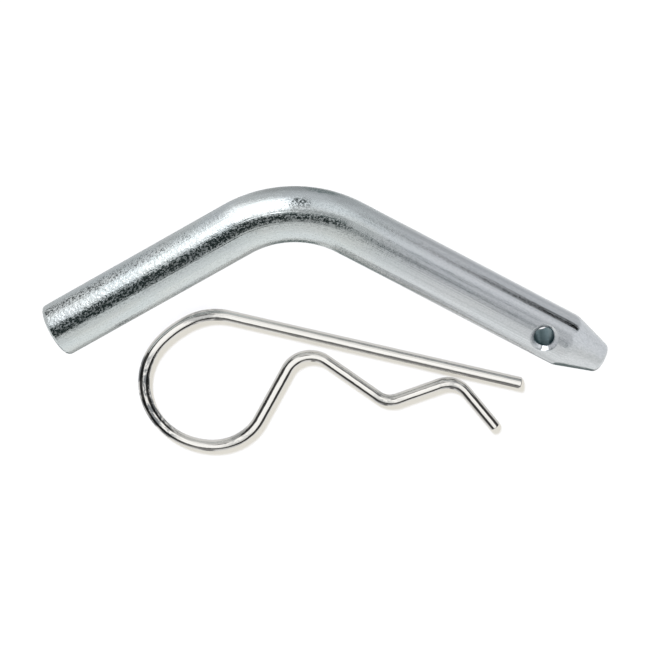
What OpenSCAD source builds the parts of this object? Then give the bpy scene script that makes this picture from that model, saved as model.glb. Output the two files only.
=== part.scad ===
// Bent hitch pin with its spring clip laid beside it.
//
// Frame: the origin is where the shank axis crosses the cross hole axis.
// +X runs along the shank to the tapered nose, +Z runs along the cross hole,
// and the grip leg bends away toward -Y. Pin and clip both rest on the plane
// z = -pin_dia/2. Millimetres.

/* [Pin] */
// Diameter of the bar
pin_dia = 15.875; // [14:0.125:18]
// Straight shank from the cross hole to the start of the bend
shank_len = 63.5; // [55:0.5:90]
// Bend radius on the bar's centre line
bend_radius = 31.75; // [24:0.25:45]
// Bend angle between shank and grip leg
bend_angle = 60; // [45:1:75]
// Straight part of the grip leg
grip_len = 61; // [40:0.5:80]
// Chamfer on the rim of the grip end
grip_chamfer = 0.9; // [0.4:0.1:2]

/* [Nose] */
// Distance from the cross hole to the start of the taper
nose_start = 7.6; // [6:0.1:14]
// Length of the taper
taper_len = 11.6; // [7:0.1:14]
// Diameter at the small end of the taper
nose_dia = 8.6; // [6:0.1:11]
// Chamfer that blunts the nose rim
nose_chamfer = 0.7; // [0.3:0.1:1.5]

/* [Cross hole] */
// Diameter of the bore
hole_dia = 5.8; // [4.5:0.1:6.5]
// Diameter of the countersunk mouth on the crest of the bar
mouth_dia = 8.4; // [7.4:0.1:9.5]
// Half angle of the countersink, from the hole axis
mouth_angle = 32; // [25:1:45]

/* [Clip wire] */
// Wire diameter
wire_dia = 3.4; // [2.6:0.1:4.2]
// Chamfer on both cut ends of the wire
wire_chamfer = 0.25; // [0.1:0.05:0.5]
// Length of the straight leg
leg_len = 87.5; // [80:0.5:90]

/* [Clip eye] */
// Radius where the straight leg turns into the eye
eye_r1 = 16.1; // [15:0.1:18]
// Turn of that first arc
eye_a1 = 40.8; // [39:0.1:43]
// Radius of the flatter shoulder of the eye
eye_r2 = 29.8; // [27:0.1:32]
// Turn of the shoulder
eye_a2 = 21.1; // [20:0.1:22]
// Radius of the main round of the eye
eye_r3 = 19.9; // [19:0.1:21]
// Turn of the main round
eye_a3 = 128.3; // [127:0.1:130]
// Radius where the eye turns up into the wavy leg
eye_r4 = 15.6; // [14.5:0.1:17]
// Turn of that last arc
eye_a4 = 66.7; // [65:0.1:68]

/* [Clip wavy leg] */
// Straight rise from the eye to the first hump
rise_len = 18; // [16:0.1:18.5]
// Radius of the first hump
hump1_r = 7.6; // [6.5:0.1:9]
// Turn over the first hump
hump1_a = 100.1; // [98:0.1:102]
// Straight run down into the valley
fall_len = 18.9; // [17:0.1:21]
// Radius of the valley that cradles the pin
valley_r = 5.9; // [5:0.1:8]
// Turn through the valley
valley_a = 58.3; // [56:0.1:59]
// Straight run up to the second hump
climb_len = 13; // [11:0.1:13.5]
// Radius of the second hump
hump2_r = 6.8; // [6:0.1:8]
// Turn over the second hump
hump2_a = 73.2; // [71:0.1:76]
// Straight flared end
flare_len = 14.4; // [10:0.1:18]

/* [Clip layout] */
// X of the straight leg's free end
clip_x = 5.1; // [0:0.1:10]
// Y of the straight leg's free end
clip_y = -20; // [-30:0.1:-19]
// Direction of the straight leg, from its free end toward the eye
clip_dir = 195.2; // [193:0.1:198]

/* [Hidden] */

LEG_COLOR = [0.86, 0.85, 0.82];

// Facets around each section and along each sweep
BAR_FACETS = 72;
BEND_FACETS = 180;
HOLE_FACETS = 64;
WIRE_FACETS = 32;
WIRE_BEND_FACETS = 96;

pin_r = pin_dia / 2;
wire_r = wire_dia / 2;
wire_z = wire_r - pin_r;

// Countersink depth from crest to bore, and how far each cutter passes the crest
mouth_depth = (mouth_dia - hole_dia) / 2 / tan(mouth_angle);
mouth_over = 3;
hole_over = 2;

// Where pieces of a node meet, one is slightly fuller and the other runs
// into it by the seat, so that every join is one clean circle.
wire_fuller = 0.005;
bar_fuller = 0.02;
seat = 0.06;

// Clip wire path, from the straight leg's free end to the flared end.
// Columns: length, radius, turn. A straight has radius 0, a left turn is positive.
STEPS = [
    [leg_len, 0, 0],
    [0, eye_r1, eye_a1],
    [0, eye_r2, eye_a2],
    [0, eye_r3, eye_a3],
    [0, eye_r4, eye_a4],
    [rise_len, 0, 0],
    [0, hump1_r, -hump1_a],
    [fall_len, 0, 0],
    [0, valley_r, valley_a],
    [climb_len, 0, 0],
    [0, hump2_r, -hump2_a],
    [flare_len, 0, 0]
];
// Rows of STEPS where the eye, the rise and the flared end start
EYE = 1;
RISE = 5;
FLARE = 11;

// Unit vector to the left of a heading
function left_of(heading) = [-sin(heading), cos(heading)];

function arc_centre(start, heading, radius, turn) =
    start + sign(turn) * radius * left_of(heading);

function arc_end(start, heading, radius, turn) =
    arc_centre(start, heading, radius, turn) - sign(turn) * radius * left_of(heading + turn);

// Heading and position at the start of step i
function step_heading(i) = i == 0 ? clip_dir : step_heading(i - 1) + STEPS[i - 1][2];

function step_start(i) =
    i == 0 ? [clip_x, clip_y] :
    let (step = STEPS[i - 1], start = step_start(i - 1), heading = step_heading(i - 1))
    step[1] == 0
        ? start + step[0] * [cos(heading), sin(heading)]
        : arc_end(start, heading, step[1], step[2]);

// Profile of a rod from distance first to last, with a chamfer at the last end
function rod_profile(first, last, radius, chamfer) =
    [[first, radius], [last - chamfer, radius], [last, radius - chamfer]];

// Round section swept through an arc. run_in and run_out lengthen its start
// and its end, measured along the centre line.
module swept_arc(start, heading, bend_r, turn, section_r, z, section_fn, sweep_fn,
                 run_in = 0, run_out = 0) {
    centre = arc_centre(start, heading, bend_r, turn);
    angle_in = run_in / bend_r * 180 / PI;
    angle_out = run_out / bend_r * 180 / PI;
    from = turn > 0 ? heading - 90 - angle_in : heading + 90 + turn - angle_out;
    translate([centre[0], centre[1], z]) rotate([0, 0, from])
        rotate_extrude(angle = abs(turn) + angle_in + angle_out, $fn = sweep_fn)
            translate([bend_r, 0]) circle(r = section_r, $fn = section_fn);
}

// Straight round length along a heading, turned from a profile of
// [distance along, radius] points
module turned(start, heading, z, profile, section_fn) {
    first = profile[0][0];
    last = profile[len(profile) - 1][0];
    translate([start[0], start[1], z]) rotate([0, 0, heading]) rotate([90, 0, 90])
        rotate_extrude($fn = section_fn)
            polygon([for (point = concat([[first, 0]], profile, [[last, 0]]))
                     [point[1], point[0]]]);
}

// Straight step i of the wire
module wire_straight(i, run_in = 0, run_out = 0) {
    turned(step_start(i), step_heading(i), wire_z,
           [[-run_in, wire_r], [STEPS[i][0] + run_out, wire_r]], WIRE_FACETS);
}

// Curved step i of the wire
module wire_arc(i, fuller = 0, run_in = 0, run_out = 0) {
    swept_arc(step_start(i), step_heading(i), STEPS[i][1], STEPS[i][2], wire_r + fuller,
              wire_z, WIRE_FACETS, WIRE_BEND_FACETS, run_in, run_out);
}

// Grip leg, bend, shank and tapered nose in one bar
module bar() {
    bend_start = [-shank_len, 0];
    bend_end = arc_end(bend_start, 180, bend_radius, bend_angle);
    taper_start = shank_len + nose_start;
    nose_profile = rod_profile(taper_start + taper_len, taper_start + taper_len + nose_chamfer,
                               nose_dia / 2, nose_chamfer);
    // shank and nose
    turned(bend_start, 0, 0,
           [[-seat, pin_r], [taper_start, pin_r], nose_profile[0], nose_profile[2]],
           BAR_FACETS);
    // bend
    swept_arc(bend_start, 180, bend_radius, bend_angle, pin_r + bar_fuller, 0,
              BAR_FACETS, BEND_FACETS);
    // grip leg
    turned(bend_end, 180 + bend_angle, 0,
           rod_profile(-seat, grip_len, pin_r, grip_chamfer), BAR_FACETS);
}

// The bar, drilled across and countersunk on both sides
module bent_pin() {
    color([0.74, 0.76, 0.79])
    difference() {
        union() bar();
        translate([0, 0, -pin_r - hole_over])
            cylinder(h = pin_dia + 2 * hole_over, d = hole_dia, $fn = HOLE_FACETS);
        for (side = [0, 180]) rotate([side, 0, 0])
            translate([0, 0, pin_r - mouth_depth])
                cylinder(h = mouth_depth + mouth_over, r1 = hole_dia / 2,
                         r2 = mouth_dia / 2 + mouth_over * tan(mouth_angle),
                         $fn = HOLE_FACETS);
    }
}

// Straight leg, turned from the eye out to its chamfered free end
module clip_straight_leg() {
    color(LEG_COLOR)
    turned(step_start(EYE), clip_dir + 180, wire_z,
           rod_profile(0, leg_len, wire_r, wire_chamfer), WIRE_FACETS);
}

// Round eye, the part of the wire that bends when the clip opens
module clip_eye() {
    color([0.84, 0.83, 0.80]) {
        wire_arc(EYE, fuller = wire_fuller);
        wire_arc(EYE + 1, run_in = seat, run_out = seat);
        wire_arc(EYE + 2, fuller = wire_fuller);
        wire_arc(EYE + 3, run_in = seat);
    }
}

// Wavy leg: rise, first hump, valley, second hump and flared end
module clip_wavy_leg() {
    color(LEG_COLOR) {
        wire_straight(RISE, run_out = seat);
        for (i = [RISE + 1:2:FLARE - 1]) wire_arc(i, fuller = wire_fuller);
        for (i = [RISE + 2:2:FLARE - 2]) wire_straight(i, run_in = seat, run_out = seat);
        turned(step_start(FLARE), step_heading(FLARE), wire_z,
               rod_profile(-seat, flare_len, wire_r, wire_chamfer), WIRE_FACETS);
    }
}

bent_pin();
clip_straight_leg();
clip_eye();
clip_wavy_leg();
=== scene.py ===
"""A bent pin with a spring clip, lying on a white table.

The cross hole of the bar is at the origin and runs along Z. The bar lies along X with its tapered
nose at +X; at the -X end it bends 60 degrees towards -Y into the grip. The clip is one wire lying
as low as the bar: a straight leg, an eye and a wavy leg. Shapes are worked out in mm and scaled
to metres when they become meshes.
"""
import math

import bmesh
import bpy
from mathutils import Matrix, Vector, noise


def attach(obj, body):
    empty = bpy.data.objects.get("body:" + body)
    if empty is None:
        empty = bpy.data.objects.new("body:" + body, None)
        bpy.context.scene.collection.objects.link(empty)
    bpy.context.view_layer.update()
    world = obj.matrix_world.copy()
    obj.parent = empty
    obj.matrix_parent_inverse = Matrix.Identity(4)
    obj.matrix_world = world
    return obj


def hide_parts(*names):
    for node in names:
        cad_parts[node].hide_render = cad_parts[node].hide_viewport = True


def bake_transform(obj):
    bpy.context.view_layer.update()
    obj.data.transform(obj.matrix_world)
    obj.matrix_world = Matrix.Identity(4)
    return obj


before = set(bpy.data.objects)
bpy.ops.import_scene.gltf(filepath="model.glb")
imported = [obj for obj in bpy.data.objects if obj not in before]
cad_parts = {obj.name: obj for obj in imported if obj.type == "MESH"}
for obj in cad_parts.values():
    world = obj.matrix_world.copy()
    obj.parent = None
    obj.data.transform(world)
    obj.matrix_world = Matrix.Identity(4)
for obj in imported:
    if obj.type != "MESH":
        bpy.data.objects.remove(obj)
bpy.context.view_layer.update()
scene = bpy.context.scene

MM = 0.001

# ---------------------------------------------------------------- dimensions, mm
BAR_R = 7.9375
SHANK = 63.5              # cross hole to start of bend
BEND_R = 31.75            # on the centre line
BEND = math.radians(60)
GRIP = 61.0
END_ROUND = 0.9           # rounding of the cut grip end
NOSE_STRAIGHT = 7.6       # cross hole to start of taper
TAPER = 11.6
NOSE_R = 4.3              # radius the taper would reach at its end
NOSE_TIP = 0.7            # end of taper to end face
SHOULDER = 0.9            # half the length of the soft edge between straight and taper
RIM = 0.5                 # the nose rim starts to round this far before the end of the taper
SLOPE = (BAR_R - NOSE_R) / TAPER
HOLE_R = 2.9
MOUTH_R = 4.2             # rim of the countersunk mouth

# lengths along the bar, from the grip end
BEND_LEN = BEND_R * BEND
SHANK_START = GRIP + BEND_LEN
HOLE_AT = SHANK_START + SHANK
NOSE_END = HOLE_AT + NOSE_STRAIGHT + TAPER + NOSE_TIP

GRIP_DIR = Vector((-math.cos(BEND), -math.sin(BEND), 0))
BEND_END = Vector((-SHANK - BEND_R * math.sin(BEND), -BEND_R * (1 - math.cos(BEND)), 0))

WIRE_R = 1.7
WIRE_Z = WIRE_R - BAR_R
WIRE_END_ROUND = 0.28
CLIP_START = (5.1, -20.0)
CLIP_HEADING = 195.2      # degrees from +X
# steps of the wire: length of a straight, or radius and turn of an arc (degrees, + is left)
CLIP_STEPS = [
    # straight leg
    (87.5, 0, 0),
    # eye
    (0, 16.1, 40.8), (0, 29.8, 21.1), (0, 19.9, 128.3), (0, 15.6, 66.7),
    # wavy leg
    (18.0, 0, 0), (0, 7.6, -100.1), (18.9, 0, 0), (0, 5.9, 58.3),
    (13.0, 0, 0), (0, 6.8, -73.2), (14.4, 0, 0),
]
EYE_FIRST, EYE_END = 1, 5     # steps of the eye, the end not included

# mesh steps, mm, and counts
BAR_SEGMENTS, CUTTER_SEGMENTS, WIRE_SEGMENTS = 224, 112, 56
BAR_STEP = 0.8
WIRE_STRAIGHT_STEP, WIRE_ARC_STEP = 0.9, 0.35


# ---------------------------------------------------------------- mesh helpers
def mesh_object(name, bm):
    mesh = bpy.data.meshes.new(name)
    bm.to_mesh(mesh)
    bm.free()
    ob = bpy.data.objects.new(name, mesh)
    scene.collection.objects.link(ob)
    return ob


def solid_object(name, bm):
    """Object from a closed mesh in mm."""
    bmesh.ops.recalc_face_normals(bm, faces=bm.faces)
    for vert in bm.verts:
        vert.co *= MM
    return mesh_object(name, bm)


def bridge(bm, ring, following):
    for j in range(len(ring)):
        k = (j + 1) % len(ring)
        bm.faces.new((ring[j], ring[k], following[k], following[j]))


def sweep(name, stations, segments, cap_shares):
    """Round body through (centre, tangent, length, radius) stations, with flat closed ends.

    The caps have an inner ring at each share of the end radius. Also returns every vertex as
    (length, sideways, height) about the centre line, mm.
    """
    bm = bmesh.new()
    local = []

    def add_ring(station, share=1.0):
        centre, tangent, length, radius = station
        across = Vector((-tangent.y, tangent.x, 0))
        ring = []
        for j in range(segments):
            angle = 2 * math.pi * j / segments
            side = radius * share * math.cos(angle)
            height = radius * share * math.sin(angle)
            ring.append(bm.verts.new(centre + across * side + Vector((0, 0, height))))
            local.append((length, side, height))
        return ring

    rings = [add_ring(station) for station in stations]
    for ring, following in zip(rings, rings[1:]):
        bridge(bm, ring, following)
    for ring, station in ((rings[0], stations[0]), (rings[-1], stations[-1])):
        for share in cap_shares:
            inner = add_ring(station, share)
            bridge(bm, ring, inner)
            ring = inner
        middle = bm.verts.new(station[0])
        local.append((station[2], 0, 0))
        for j in range(segments):
            bm.faces.new((ring[j], ring[(j + 1) % segments], middle))
    return solid_object(name, bm), local


def smooth_below(mesh, degrees):
    """Smooth shading, with edges sharp from this angle up."""
    bm = bmesh.new()
    bm.from_mesh(mesh)
    limit = math.radians(degrees)
    for face in bm.faces:
        face.smooth = True
    for edge in bm.edges:
        if len(edge.link_faces) == 2:
            edge.smooth = edge.calc_face_angle(0) < limit
    bm.to_mesh(mesh)
    bm.free()


def add_vectors(mesh, name, vectors):
    flat = [x for vector in vectors for x in vector]
    mesh.attributes.new(name, "FLOAT_VECTOR", "POINT").data.foreach_set("vector", flat)


# ---------------------------------------------------------------- bar
def bar_at(s):
    """Centre and tangent at length s from the grip end, mm."""
    if s < GRIP:
        return BEND_END + GRIP_DIR * (GRIP - s), -GRIP_DIR
    if s < SHANK_START:
        a = BEND - (s - GRIP) / BEND_R
        centre = Vector((-SHANK - BEND_R * math.sin(a), -BEND_R + BEND_R * math.cos(a), 0))
        return centre, Vector((math.cos(a), math.sin(a), 0))
    return Vector((-SHANK + (s - SHANK_START), 0, 0)), Vector((1, 0, 0))


def bar_coords(point):
    """Straightened coordinates (length, sideways, height) of a point near the bar, mm."""
    x, y, z = point
    if x > -SHANK:
        return Vector((SHANK_START + x + SHANK, y, z))
    spoke = Vector((x, y)) - Vector((-SHANK, -BEND_R))
    angle = math.atan2(-spoke.x, spoke.y)
    if angle <= BEND:
        return Vector((GRIP + BEND_R * (BEND - angle), spoke.length - BEND_R, z))
    offset = Vector((x, y)) - BEND_END.xy
    sideways = offset.x * GRIP_DIR.y - offset.y * GRIP_DIR.x
    return Vector((GRIP - offset.dot(GRIP_DIR.xy), sideways, z))


def bar_radius(s):
    """Outline of the bar, up to the rounded rim of the nose."""
    if s < END_ROUND:
        return BAR_R - END_ROUND + math.sqrt(max(0.0, END_ROUND ** 2 - (END_ROUND - s) ** 2))
    into_nose = s - HOLE_AT - NOSE_STRAIGHT
    if into_nose <= -SHOULDER:
        return BAR_R
    if into_nose < SHOULDER:
        t = (into_nose + SHOULDER) / (2 * SHOULDER)
        return BAR_R - SLOPE * SHOULDER * t * t
    return BAR_R - SLOPE * into_nose


def bar_outline():
    """(length, radius) pairs from grip end to nose."""
    lengths = [END_ROUND * (1 - math.cos(math.pi / 2 * i / 8)) for i in range(9)]
    s = END_ROUND
    while s < GRIP - 0.6:
        s += BAR_STEP
        lengths.append(s)
    lengths += [GRIP + BEND_LEN * i / 72 for i in range(73)]
    taper_start = HOLE_AT + NOSE_STRAIGHT
    straight = SHANK + NOSE_STRAIGHT - SHOULDER
    rim_start = taper_start + TAPER - RIM
    for start, end, count in (
            (SHANK_START, SHANK_START + straight, int(straight / BAR_STEP)),
            (taper_start - SHOULDER, taper_start + SHOULDER, 8),
            (taper_start + SHOULDER, rim_start, 14)):
        lengths += [start + (end - start) * i / count for i in range(1, count + 1)]
    outline = [(s, bar_radius(s)) for s in lengths]

    # rim of the nose: arc tangent to the taper and to the end face
    tilt = math.atan(SLOPE)
    start, start_radius = outline[-1]
    rim_radius = (NOSE_END - start) / (1 - math.sin(tilt))
    for i in range(1, 11):
        a = tilt + (math.pi / 2 - tilt) * i / 10
        outline.append((start + rim_radius * (math.sin(a) - math.sin(tilt)),
                        start_radius - rim_radius * (math.cos(tilt) - math.cos(a))))
    return outline


def cutter_profile(angle):
    """(radius, height) down the upper half of the cutter, in the direction angle from +X."""
    sin2 = math.sin(angle) ** 2
    rim = MOUTH_R - 0.12 * sin2
    rim_z = math.sqrt(BAR_R * BAR_R - (rim * math.sin(angle)) ** 2)
    depth = 1.3 - 0.35 * sin2
    width = rim - HOLE_R + 0.05
    profile = [(rim + 0.55, BAR_R + 3.0), (rim + 0.55, rim_z + 0.42 + 0.25 * sin2)]
    for i in range(10):
        t = i / 9
        profile.append((rim - width * t, rim_z - depth * (0.7 * t + 0.3 * t * t)))
    return profile + [(HOLE_R - 0.09, rim_z - depth - 0.1), (HOLE_R - 0.1, 3.0)]


def make_cutter():
    """Bore with a dished countersink at both ends that follows the round of the bar."""
    columns = []
    for j in range(CUTTER_SEGMENTS):
        # turned a little, so that no vertex lines up with those of the bar
        a = 2 * math.pi * j / CUTTER_SEGMENTS + 0.013
        columns.append([(r * math.cos(a), r * math.sin(a), z) for r, z in cutter_profile(a)])
    rows = list(zip(*columns))
    rows += [[(x, y, -z) for x, y, z in row] for row in reversed(rows)]
    bm = bmesh.new()
    rings = [[bm.verts.new(point) for point in row] for row in rows]
    for ring, following in zip(rings, rings[1:]):
        bridge(bm, ring, following)
    bm.faces.new(rings[0])
    bm.faces.new(rings[-1])
    return solid_object("cutter", bm)


def drill(ob, cutter):
    """Cuts the cutter out of the object, then removes the cutter."""
    modifier = ob.modifiers.new("hole", "BOOLEAN")
    modifier.operation = "DIFFERENCE"
    modifier.solver = "EXACT"
    modifier.object = cutter
    bpy.context.view_layer.update()
    depsgraph = bpy.context.evaluated_depsgraph_get()
    drilled = bpy.data.meshes.new_from_object(ob.evaluated_get(depsgraph))
    plain, cutter_mesh = ob.data, cutter.data
    ob.modifiers.clear()
    ob.data = drilled
    bpy.data.meshes.remove(plain)
    bpy.data.objects.remove(cutter)
    bpy.data.meshes.remove(cutter_mesh)


def fractal(point):
    return sum(0.5 ** i * noise.noise(point * 2.0 ** i) for i in range(3))


def make_uneven(mesh):
    """Slow waviness all over and shallow dents about the bend; stores straightened coordinates."""
    wave_height, dent_height = 0.018, 0.022     # mm
    dent_centre, dent_reach = GRIP + BEND_LEN * 0.5, 26.0
    coords = []
    for vert in mesh.vertices:
        point = vert.co / MM
        local = bar_coords(point)
        coords.append(local)
        # the mouth of the hole and the middle of the end faces stay as they are
        keep = min(1.0, max(0.0, (math.hypot(point.x, point.y) - 4.8) / 2.0))
        if keep <= 0 or math.hypot(local.y, local.z) < 3.0:
            continue
        a = math.atan2(local.z, local.y)
        wave = Vector((local.x * 0.045, math.cos(a) * 0.9, math.sin(a) * 0.9))
        dent = Vector((local.x * 0.35, math.cos(a) * 2.6, math.sin(a) * 2.6))
        rise = wave_height * fractal(wave + Vector((3.1, 7.7, 1.3)))
        near_bend = math.exp(-((local.x - dent_centre) / dent_reach) ** 2)
        rise += near_bend * dent_height * fractal(dent)
        outward = (point - bar_at(local.x)[0]).normalized()
        vert.co += outward * (rise * keep * MM)
    add_vectors(mesh, "bar_mm", coords)


def make_bar():
    stations = [(*bar_at(s), s, radius) for s, radius in bar_outline()]
    ob, _ = sweep("bent_pin_bar", stations, BAR_SEGMENTS, cap_shares=(0.86, 0.66, 0.42, 0.2))
    drill(ob, make_cutter())
    make_uneven(ob.data)
    smooth_below(ob.data, 22)
    return ob


# ---------------------------------------------------------------- clip wire
def ahead(heading):
    return Vector((math.cos(heading), math.sin(heading)))


def left_of(heading):
    return Vector((-math.sin(heading), math.cos(heading)))


def clip_path():
    """(point, heading, length) samples along the wire, and the length at each step's start."""
    point = Vector(CLIP_START)
    heading = math.radians(CLIP_HEADING)
    samples, marks, s = [], [0.0], 0.0
    for length, radius, turn_degrees in CLIP_STEPS:
        if radius == 0:
            count = int(length / WIRE_STRAIGHT_STEP)
            for i in range(count):
                done = length * i / count
                samples.append((point + ahead(heading) * done, heading, s + done))
            point = point + ahead(heading) * length
        else:
            turn = math.radians(turn_degrees)
            to_centre = math.copysign(radius, turn)
            centre = point + left_of(heading) * to_centre
            length = abs(turn) * radius
            count = int(length / WIRE_ARC_STEP)
            for i in range(count):
                h = heading + turn * i / count
                samples.append((centre - left_of(h) * to_centre, h, s + length * i / count))
            heading += turn
            point = centre - left_of(heading) * to_centre
        s += length
        marks.append(s)
    samples.append((point, heading, s))
    return samples, marks


def make_wire(samples):
    total = samples[-1][2]
    stations = []

    def add(point, heading, s, radius):
        stations.append((Vector((*point, WIRE_Z)), ahead(heading).to_3d(), s, radius))

    def add_rounded_end(sample, direction, order):
        """Direction is 1 where the wire starts and -1 where it ends."""
        point, heading, s = sample
        for i in order:
            a = math.pi / 2 * i / 6
            inset = direction * WIRE_END_ROUND * (1 - math.cos(a))
            add(point + ahead(heading) * inset, heading, s + inset,
                WIRE_R - WIRE_END_ROUND + WIRE_END_ROUND * math.sin(a))

    add_rounded_end(samples[0], 1, range(7))
    for point, heading, s in samples:
        if WIRE_END_ROUND + 0.1 < s < total - WIRE_END_ROUND - 0.1:
            add(point, heading, s, WIRE_R)
    add_rounded_end(samples[-1], -1, reversed(range(7)))

    ob, local = sweep("spring_clip_wire", stations, WIRE_SEGMENTS, cap_shares=(0.7, 0.35))
    arc = ob.data.attributes.new("arc_mm", "FLOAT", "POINT")
    arc.data.foreach_set("value", [length for length, _, _ in local])
    add_vectors(ob.data, "bar_mm", local)
    smooth_below(ob.data, 50)
    return ob


bar = make_bar()
clip_samples, clip_marks = clip_path()
wire = make_wire(clip_samples)

# ---------------------------------------------------------------- shader helpers
BLACK, WHITE = (0, 0, 0), (1, 1, 1)


class Graph:
    """Node tree of a material or world, started empty."""

    def __init__(self, owner):
        owner.use_nodes = True
        self.tree = owner.node_tree
        self.tree.nodes.clear()

    def node(self, kind, inputs, output=0, **settings):
        """New node. Returns one output as a Value, or a list for a tuple of outputs."""
        node = self.tree.nodes.new("ShaderNode" + kind)
        for key, value in settings.items():
            setattr(node, key, value)
        for key, value in inputs.items():
            socket = node.inputs[key]
            if isinstance(value, Value):
                self.tree.links.new(value.socket, socket)
            else:
                socket.default_value = (*value, 1) if socket.type == "RGBA" else value
        if isinstance(output, tuple):
            return [Value(self, node.outputs[key]) for key in output]
        return Value(self, node.outputs[output])

    def math(self, operation, *values):
        return self.node("Math", dict(enumerate(values)), operation=operation)

    def mix(self, factor, base, top, blend="MIX"):
        return self.node("Mix", {0: factor, 6: base, 7: top}, 2,
                         data_type="RGBA", blend_type=blend)

    def emission(self, colour, strength):
        return self.node("Emission", {"Color": colour, "Strength": strength})

    def finish(self, shader, kind="OutputMaterial"):
        output = self.tree.nodes.new("ShaderNode" + kind)
        self.tree.links.new(shader.socket, output.inputs[0])


class Value:
    """Output of a node. Arithmetic on it adds Math nodes, operands in the order written."""

    def __init__(self, graph, socket):
        self.graph = graph
        self.socket = socket

    def math(self, operation, *others):
        return self.graph.math(operation, self, *others)

    def __add__(self, other):
        return self.math("ADD", other)

    def __sub__(self, other):
        return self.math("SUBTRACT", other)

    def __rsub__(self, other):
        return self.graph.math("SUBTRACT", other, self)

    def __mul__(self, other):
        return self.math("MULTIPLY", other)

    def __truediv__(self, other):
        return self.math("DIVIDE", other)

    def __pow__(self, other):
        return self.math("POWER", other)

    def __abs__(self):
        return self.math("ABSOLUTE")

    def dot(self, other):
        return self.graph.node("VectorMath", {0: self, 1: other}, "Value",
                               operation="DOT_PRODUCT")

    def fade(self, zero, one, low=0.0, high=1.0, kind="SMOOTHSTEP"):
        """low up to the value zero, high from the value one; zero may be above one."""
        inputs = {"Value": self, "From Min": zero, "From Max": one, "To Min": low, "To Max": high}
        return self.graph.node("MapRange", inputs, "Result", interpolation_type=kind)

    def ramp(self, start, end, first=BLACK, last=WHITE):
        """Colour that goes from first at start to last at end."""
        colour = self.graph.node("ValToRGB", {"Fac": self}, "Color")
        elements = colour.socket.node.color_ramp.elements
        for element, place, value in zip(elements, (start, end), (first, last)):
            element.position = place
            element.color = (*value, 1)
        return colour

    def noise(self, along, across, detail, rough, distortion=0.0):
        """Noise of a position on the metal, with its rates along and across it per mm."""
        place = self.graph.node("VectorMath", {0: self, 1: (along, across, across)},
                                operation="MULTIPLY")
        inputs = {"Vector": place, "Scale": 1.0, "Detail": detail, "Roughness": rough,
                  "Distortion": distortion}
        return self.graph.node("TexNoise", inputs, "Fac")

    def bump(self, distance, strength=1.0, normal=None):
        """Normal bumped by this height, on top of another normal if given."""
        inputs = {"Distance": distance, "Strength": strength, "Height": self}
        if normal is not None:
            inputs["Normal"] = normal
        return self.graph.node("Bump", inputs)


# ---------------------------------------------------------------- materials
def metal(name):
    """New material with its graph, the position on the metal, and its first two parts."""
    material = bpy.data.materials.new(name)
    g = Graph(material)
    position = g.node("Attribute", {}, "Vector", attribute_name="bar_mm")
    along, sideways = g.node("SeparateXYZ", {0: position}, (0, 1))
    return material, g, position, along, sideways


def finish_metal(g, colour, roughness, normal):
    g.finish(g.node("BsdfPrincipled", {"Base Color": colour, "Metallic": 1.0,
                                       "Roughness": roughness, "Normal": normal}))


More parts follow.
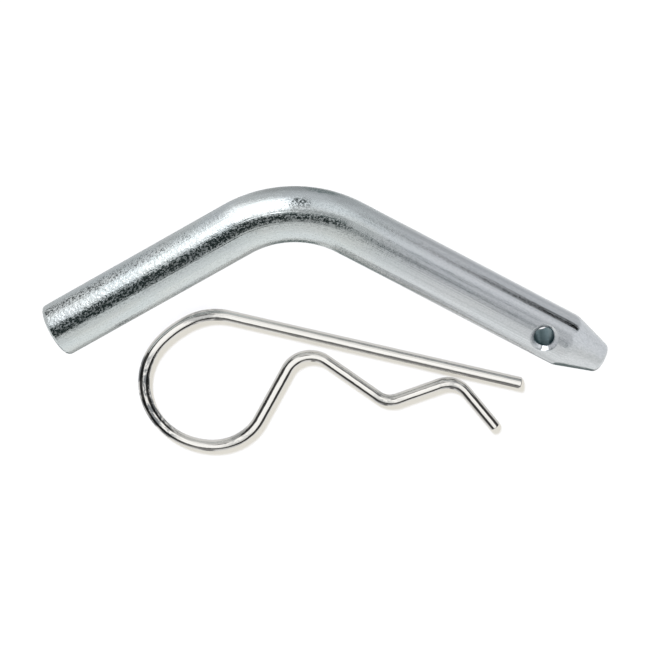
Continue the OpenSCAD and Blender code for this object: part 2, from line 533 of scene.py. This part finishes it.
def zinc():
    """Bright zinc plate: lengthwise drawing lines, fine speckle and cloudy tints, with painted
    shade in the bore.
    """
    material, g, position, along, sideways = metal("zinc_bar")
    grip = along.fade(124, 92)        # 1 on grip and bend, falling to 0 along the shank
    coarse = along.fade(60, 4)        # 1 at the grip end, 0 at the bend
    plain = 1.0 - grip
    streak = position.noise(along=0.014, across=0.95, detail=4, rough=0.55)
    matte = position.noise(along=1.7, across=2.0, detail=2, rough=0.6).ramp(0.47, 0.57)
    mottle = position.noise(along=0.9, across=1.3, detail=4, rough=0.6)
    tint = position.noise(along=0.05, across=0.16, detail=3, rough=0.5, distortion=0.6)
    fine = position.noise(along=0.07, across=6.0, detail=5, rough=0.6)
    cloud = position.noise(along=0.10, across=0.25, detail=4, rough=0.55, distortion=0.4)
    speck = position.noise(along=0.85, across=1.05, detail=2, rough=0.5)
    grain = position.noise(along=2.6, across=3.0, detail=1, rough=0.5)
    dust = position.noise(along=2.2, across=2.4, detail=2, rough=0.6)
    drawn = position.noise(along=0.012, across=1.9, detail=3, rough=0.6, distortion=0.3)

    # distance from the axis of the cross hole; the wall of the bore and the side of its mouth
    # towards the bend
    from_hole = along - HOLE_AT
    hole_radius = (from_hole * from_hole + sideways * sideways).math("SQRT")
    wall = hole_radius.fade(HOLE_R - 0.03, HOLE_R - 0.08, kind="LINEAR")
    mouth = hole_radius.fade(MOUTH_R, MOUTH_R - 0.15)
    bend_side = from_hole.fade(0.8, -1.2)

    colour = g.mix(streak.ramp(0.3, 0.75), (0.655, 0.70, 0.72), (0.735, 0.77, 0.785))
    colour = g.mix(cloud.ramp(0.45, 0.68) * 0.4, colour, (0.70, 0.715, 0.755))
    warmer = g.mix(0.5, colour, (0.735, 0.745, 0.725))
    colour = g.mix(tint.ramp(0.38, 0.62), colour, warmer)
    # dark mottling, then a violet cast on the shank, dust and drawing lines
    colour = g.mix(mottle.ramp(0.35, 0.65, WHITE, BLACK) * (plain * 0.16 + 0.16),
                   colour, (0.56, 0.60, 0.61))
    colour = g.mix(plain * 0.50, colour, (0.775, 0.765, 0.82))
    colour = g.mix(dust.ramp(0.36, 0.56, WHITE, BLACK) * (plain * 0.22 + 0.08),
                   colour, (0.50, 0.52, 0.54))
    colour = g.mix(drawn.ramp(0.44, 0.60) * ((1.0 - grip) * 0.30), colour, (0.50, 0.53, 0.55))
    # painted shade: the wall of the bore is darker and bluish
    colour = g.mix(wall, colour, (0.20, 0.30, 0.33))

    # roughness: base, matt spots that are strongest on the grip, bore wall, mouth
    roughness = streak * 0.04 + cloud * (grip * 0.05 + 0.02) + 0.035
    roughness = roughness + matte * 0.30 * (grip * 0.75 + 0.25)
    roughness = roughness + wall * 0.25 + mouth * bend_side * 0.34

    # relief in metres: speckle, grain, lengthwise lines
    relief = grip * 0.85 + 0.15
    normal = ((speck - 0.5) * (relief * (coarse * 0.5 + 0.5))).bump(distance=0.00006)
    normal = ((grain - 0.5) * relief).bump(distance=0.000014, normal=normal)
    normal = (streak * 1.0 + fine * 0.08).bump(distance=0.00009, normal=normal)
    finish_metal(g, colour, roughness, normal)
    return material


# painted reflection: darker stretches of the wire, where it reflects dark surroundings; start and
# end along it, mm, and strength
DARK_REFLECTION_STRETCHES = [(90, 101, 0.6), (115, 144, 1.0), (160, 169, 0.45), (222, 229, 0.6),
                  (242, 248.5, 0.6)]
DARK_EDGE = 3


def spring():
    """Bright drawn wire with painted reflection: dark bluish patches on the eye and the wavy leg.
    """
    material, g, position, along, _ = metal("spring_wire")
    drawn = position.noise(along=0.03, across=3.2, detail=5, rough=0.6)
    mottle = position.noise(along=0.3, across=0.8, detail=4, rough=0.55)
    wave = position.noise(along=0.22, across=0.55, detail=3, rough=0.5)
    patch = position.noise(along=0.30, across=0.75, detail=4, rough=0.6, distortion=0.5)

    painted_reflection = None
    for start, end, strength in DARK_REFLECTION_STRETCHES:
        stretch = (along.fade(start - DARK_EDGE, start + DARK_EDGE)
                   * along.fade(end + DARK_EDGE, end - DARK_EDGE) * strength)
        painted_reflection = stretch if painted_reflection is None else painted_reflection + stretch

    colour = g.mix(drawn.ramp(0.35, 0.7), (0.80, 0.79, 0.765), (0.90, 0.893, 0.872))
    # painted reflection: dark bluish patches over those stretches
    colour = g.mix(painted_reflection * patch.ramp(0.42, 0.55) * 0.88, colour, (0.12, 0.135, 0.15))
    roughness = mottle * 0.07 + drawn * 0.06 + 0.03
    normal = wave.bump(distance=0.00006)
    normal = drawn.bump(distance=0.00001, strength=0.5, normal=normal)
    finish_metal(g, colour, roughness, normal)
    return material


def set_material(ob, material):
    ob.data.materials.clear()
    ob.data.materials.append(material)


zinc_material = zinc()
spring_material = spring()
set_material(bar, zinc_material)
set_material(wire, spring_material)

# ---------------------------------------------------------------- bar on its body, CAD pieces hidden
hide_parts("bent_pin")
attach(bar, "pin")

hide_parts("clip_straight_leg", "clip_eye", "clip_wavy_leg")
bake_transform(wire)


def eye_share(length):
    """0 before the eye, 1 past it, eased along it."""
    start, end = clip_marks[EYE_FIRST], clip_marks[EYE_END]
    t = min(1.0, max(0.0, (length - start) / (end - start)))
    return t * t * (3 - 2 * t)


# for each vertex of the wire, the share of the wavy leg, growing along the eye
weights = [eye_share(item.value) for item in wire.data.attributes["arc_mm"].data]

# the CAD pieces carry the finished materials too
set_material(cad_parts["bent_pin"], zinc_material)
for piece in ("clip_straight_leg", "clip_eye", "clip_wavy_leg"):
    set_material(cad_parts[piece], spring_material)

# ---------------------------------------------------------------- studio, metres
# stage axes: RIGHT and UP of the level stage as the camera sees it, AWAY from the viewer
STAGE_TURN = 0.5086060809624635      # radians about Z
CAMERA_TILT = 0.39481402955082984    # radians from straight above, away from the viewer
CAMERA_DISTANCE = 0.9
CAMERA_TARGET = Vector((-0.0549699, -0.0295579, 0))
RIGHT = Vector((math.cos(STAGE_TURN), math.sin(STAGE_TURN), 0))
AWAY = Vector((-math.sin(STAGE_TURN), math.cos(STAGE_TURN), 0))
UP = Vector((0, 0, 1))


def sky_angles(g):
    """Degrees of the view ray off straight up: to the right, away from the viewer, in all."""
    incoming = g.node("NewGeometry", {}, "Incoming")
    ray = g.node("VectorMath", {0: incoming, "Scale": -1.0}, operation="SCALE")
    to_right, to_away, to_up = (ray.dot(axis) for axis in (RIGHT, AWAY, UP))
    cosine = to_up.math("MAXIMUM", -1.0).math("MINIMUM", 1.0)
    tilt = cosine.math("ARCCOSINE") * (180 / math.pi)
    level = (to_right * to_right + to_away * to_away).math("SQRT").math("MAXIMUM", 1e-4)
    scale = tilt / level
    return to_right * scale, to_away * scale, tilt


def span(x, y):
    return (x ** 2.0 + y ** 2.0).math("SQRT")


def paint(level, layers):
    """Lays (mask, level) layers over a base level, the last one on top."""
    for mask, value in layers:
        level = mask.graph.node("Mix", {0: mask, 2: level, 3: value}, data_type="FLOAT")
    return level


def bar_light(right, away, tilt):
    """Colour and strength of the soft studio round the bar."""
    def lean(right_share, away_share, offset=0.0):
        return right * right_share + away * away_share + offset

    panel = span((right + -26.0) * 1.15, away + -58.0)
    key = (right.fade(-3, -7) * lean(0.95, 0.72).fade(-17, -7)
           * lean(-0.22, 1.0).fade(31, 40) * away.fade(102, 82))
    gap = right.fade(-4, 1) * right.fade(12, 7)
    ceiling = (away.fade(-24, -18) * lean(1.0, -0.3).fade(18, 11)
               * lean(1.0, -0.94).fade(13, 6) * away.fade(38, 18) * right.fade(-62, -44))

    # narrow wedges low on the horizon, past the two far corners of the table
    left_slope = away / right.math("MINIMUM", -1.0) + 1.043
    left_middle = left_slope * 149.0 + 88.0
    left_height = abs(tilt - left_middle) - (left_slope * 50.0 + 3.5)
    left_wedge = (left_height.fade(3.0, -1.0) * left_slope.fade(-0.04, 0.0)
                  * right.fade(-30, -50) * away.fade(20, 40) * left_slope.fade(0.3, 0.2))
    right_slope = right / away.math("MAXIMUM", 1.0)
    right_width = right_slope.fade(0.884, 0.892) * 3.0 + right_slope.fade(0.913, 0.926) * 8.5
    right_height = abs(tilt + -91.0) - right_width
    right_wedge = (right_height.fade(2.0, -1.0) * right_slope.fade(0.884, 0.892)
                   * away.fade(30, 45))

    level = paint(0.62, [
        # table beyond the bar, then close behind it
        (away.fade(112, 146), 0.40),
        (right.fade(30, 50) * away.fade(84, 98), 0.48),
        (right.fade(14, 34) * away.fade(118, 136), 0.24),
        # right-hand wall
        (right.fade(36, 52) * away.fade(52, 34), 0.84),
        # side panel, far right
        (panel.fade(40, 6), 0.94),
        # two seams in the ceiling on that side
        (tilt.fade(40.5, 42.5) * tilt.fade(46, 44) * right.fade(6, 14) * right.fade(44, 34)
         * away.fade(25.5, 29), 0.22),
        (tilt.fade(16, 18) * tilt.fade(22, 20) * right.fade(8, 12) * right.fade(21, 17), 0.20),
        # near side: pale wall and table
        (away.fade(-13, -23), 0.78),
        (away.fade(-36, -66), 0.96),
        # table close in front of the bar
        (away.fade(-98, -112) * right.fade(34, 10), 0.2),
        (away.fade(-98, -112) * right.fade(10, 34), 0.42),
        (away.fade(-84, -98) * right.fade(-17, -20) * right.fade(-31.5, -28.5), 0.82),
        (away.fade(-138, -150), 0.5),
        # key softbox, far left, brighter above the horizon
        (key, 1.5),
        (key * tilt.fade(88, 72), 2.3),
        # narrow gap between key and side panel
        (gap * away.fade(30, 40) * away.fade(92, 80), 0.5),
        (right.fade(-5, 0) * right.fade(10, 6) * away.fade(60, 68) * away.fade(92, 84), 0.03),
        # unlit ceiling behind the camera
        (ceiling, 0.03),
        # dark room
        (left_wedge, 0.0),
        (right_wedge, 0.0),
        # shade of the clip on the table, low in front of the shank
        (right.fade(-28.5, -31) * away.fade(-84, -94) * away.fade(-125, -110), 0.30),
        (right.fade(-23.2, -25.5) * away.fade(-70, -76) * away.fade(-96, -88), 0.42),
    ])
    # green-blue where dark, blue-white where bright, a little warmer on the near side
    tint = level.ramp(0.0, 0.4, (0.68, 1.0, 0.98), (0.965, 0.99, 1.0))
    colour = right.graph.mix(away.fade(10, -30), tint, (1.0, 0.995, 0.965), blend="MULTIPLY")
    return colour, level


def wire_light(right, away, tilt):
    """Colour and strength of the tent round the clip: pale window, dark wall, white table."""
    side = abs(right)
    ring = span(right, away) - side * 0.32
    ring = ring - right.fade(5, 35) * away.fade(-20, -55) * 20.0
    back = away - side * 0.8
    level = paint(0.56, [
        (away.fade(5, -25), 0.60),
        # table
        (tilt.fade(92, 108) * away.fade(5, -25), 0.80),
        (tilt.fade(96, 118) * away.fade(-25, 5), 0.72),
        # dark wall, open on the far side
        (ring.fade(72, 60) * back.fade(8, -10), 0.045),
        # doorway in that wall, on the near side
        (away.fade(-42, -48) * right.fade(-16, -11) * right.fade(-1, -4), 0.22),
        # window overhead, with a near and a far lobe
        (span(right * 0.8, away + -6.0).fade(39, 31), 1.12),
        (span(right + -16.0, away + 30.0).fade(22, 12), 1.0),
        (span(right + -14.0, (away + -38.0) * 0.7).fade(14, 7), 0.92),
        # its frame on the far left
        (span((right + 12.0) * 0.083, (away + -30.0) * 0.17).fade(1.3, 0.8), 0.10),
    ])
    return (1.0, 0.992, 0.978), level


def group(name, *objects):
    collection = bpy.data.collections.new(name)
    for ob in objects:
        collection.objects.link(ob)
    return collection


def make_tent(name, radius, light, *lit):
    """Round light tent that lights only the objects given and is clear to everything else."""
    bm = bmesh.new()
    bmesh.ops.create_icosphere(bm, subdivisions=3, radius=radius)
    bmesh.ops.reverse_faces(bm, faces=bm.faces)
    tent = mesh_object(name, bm)
    material = bpy.data.materials.new(name)
    g = Graph(material)
    glow = g.emission(*light(*sky_angles(g)))
    clear = g.node("BsdfTransparent", {})
    g.finish(g.node("AddShader", {0: clear, 1: glow}))
    tent.data.materials.append(material)
    tent.visible_camera = False
    tent.visible_shadow = False
    tent.light_linking.receiver_collection = group(name + "_lit", *lit)


def floor_white():
    """White table that glows a little and is greyer at a slant."""
    material = bpy.data.materials.new("floor_white")
    g = Graph(material)
    diffuse = g.node("BsdfDiffuse", {"Color": (0.30, 0.295, 0.285)})
    glow = g.emission(colour=(1.0, 0.955, 0.86), strength=0.60)
    table = g.node("AddShader", {0: diffuse, 1: glow})
    incoming, normal = g.node("NewGeometry", {}, ("Incoming", "Normal"))
    facing = incoming.dot(normal).fade(0.30, 0.80, low=0.66, high=1.0)
    black = g.emission(colour=WHITE, strength=0.0)
    g.finish(g.node("MixShader", {0: facing, 1: black, 2: table}))
    return material


def make_floor():
    half = 1.6
    z = -BAR_R * MM - 0.00006     # just clear of the bar
    bm = bmesh.new()
    for x, y in ((-half, -half), (half, -half), (half, half), (-half, half)):
        bm.verts.new((x, y, z))
    bm.faces.new(bm.verts)
    ob = mesh_object("floor", bm)
    ob.data.materials.append(floor_white())
    ob.visible_glossy = False
    ob.visible_diffuse = False
    return ob


def make_low_lamp(floor):
    """Lamp from the far side, a little left, for the soft shade beside the wire."""
    sun = bpy.data.lights.new("low_lamp", "SUN")
    sun.energy = 5.0
    sun.color = (0.88, 0.98, 1.27)
    sun.angle = math.radians(10)
    lamp = bpy.data.objects.new("low_lamp", sun)
    scene.collection.objects.link(lamp)
    aim = (RIGHT * 0.38 - AWAY * 0.98 - UP).normalized()
    lamp.rotation_mode = "QUATERNION"
    lamp.rotation_quaternion = aim.to_track_quat("-Z", "Y")
    lamp.light_linking.receiver_collection = group("low_lamp_lit", floor)
    lamp.light_linking.blocker_collection = group("low_lamp_shade", wire)


def make_world():
    """Grey to the camera, black to everything else."""
    world = bpy.data.worlds.new("studio")
    scene.world = world
    g = Graph(world)
    camera_ray = g.node("LightPath", {}, "Is Camera Ray")
    g.finish(g.node("Background", {0: (0.70, 0.70, 0.70), 1: camera_ray}), "OutputWorld")


def make_camera():
    camera = bpy.data.cameras.new("cam")
    ob = bpy.data.objects.new("cam", camera)
    scene.collection.objects.link(ob)
    camera.sensor_width = 36
    camera.sensor_fit = "HORIZONTAL"
    camera.lens = 173.6405169
    camera.clip_start, camera.clip_end = 0.01, 20
    backward = AWAY * math.sin(CAMERA_TILT) + UP * math.cos(CAMERA_TILT)
    upward = AWAY * math.cos(CAMERA_TILT) - UP * math.sin(CAMERA_TILT)
    place = CAMERA_TARGET + backward * CAMERA_DISTANCE
    columns = [axis.to_4d() for axis in (RIGHT, upward, backward, place)]
    for column in columns[:3]:
        column.w = 0
    ob.matrix_world = Matrix(columns).transposed()
    scene.camera = ob


floor = make_floor()
make_tent("tent_bar", 2.6, bar_light, bar, floor)
make_tent("tent_wire", 2.9, wire_light, wire)
make_low_lamp(floor)
make_world()
make_camera()
scene.view_settings.view_transform = "Standard"
scene.view_settings.look = "None"
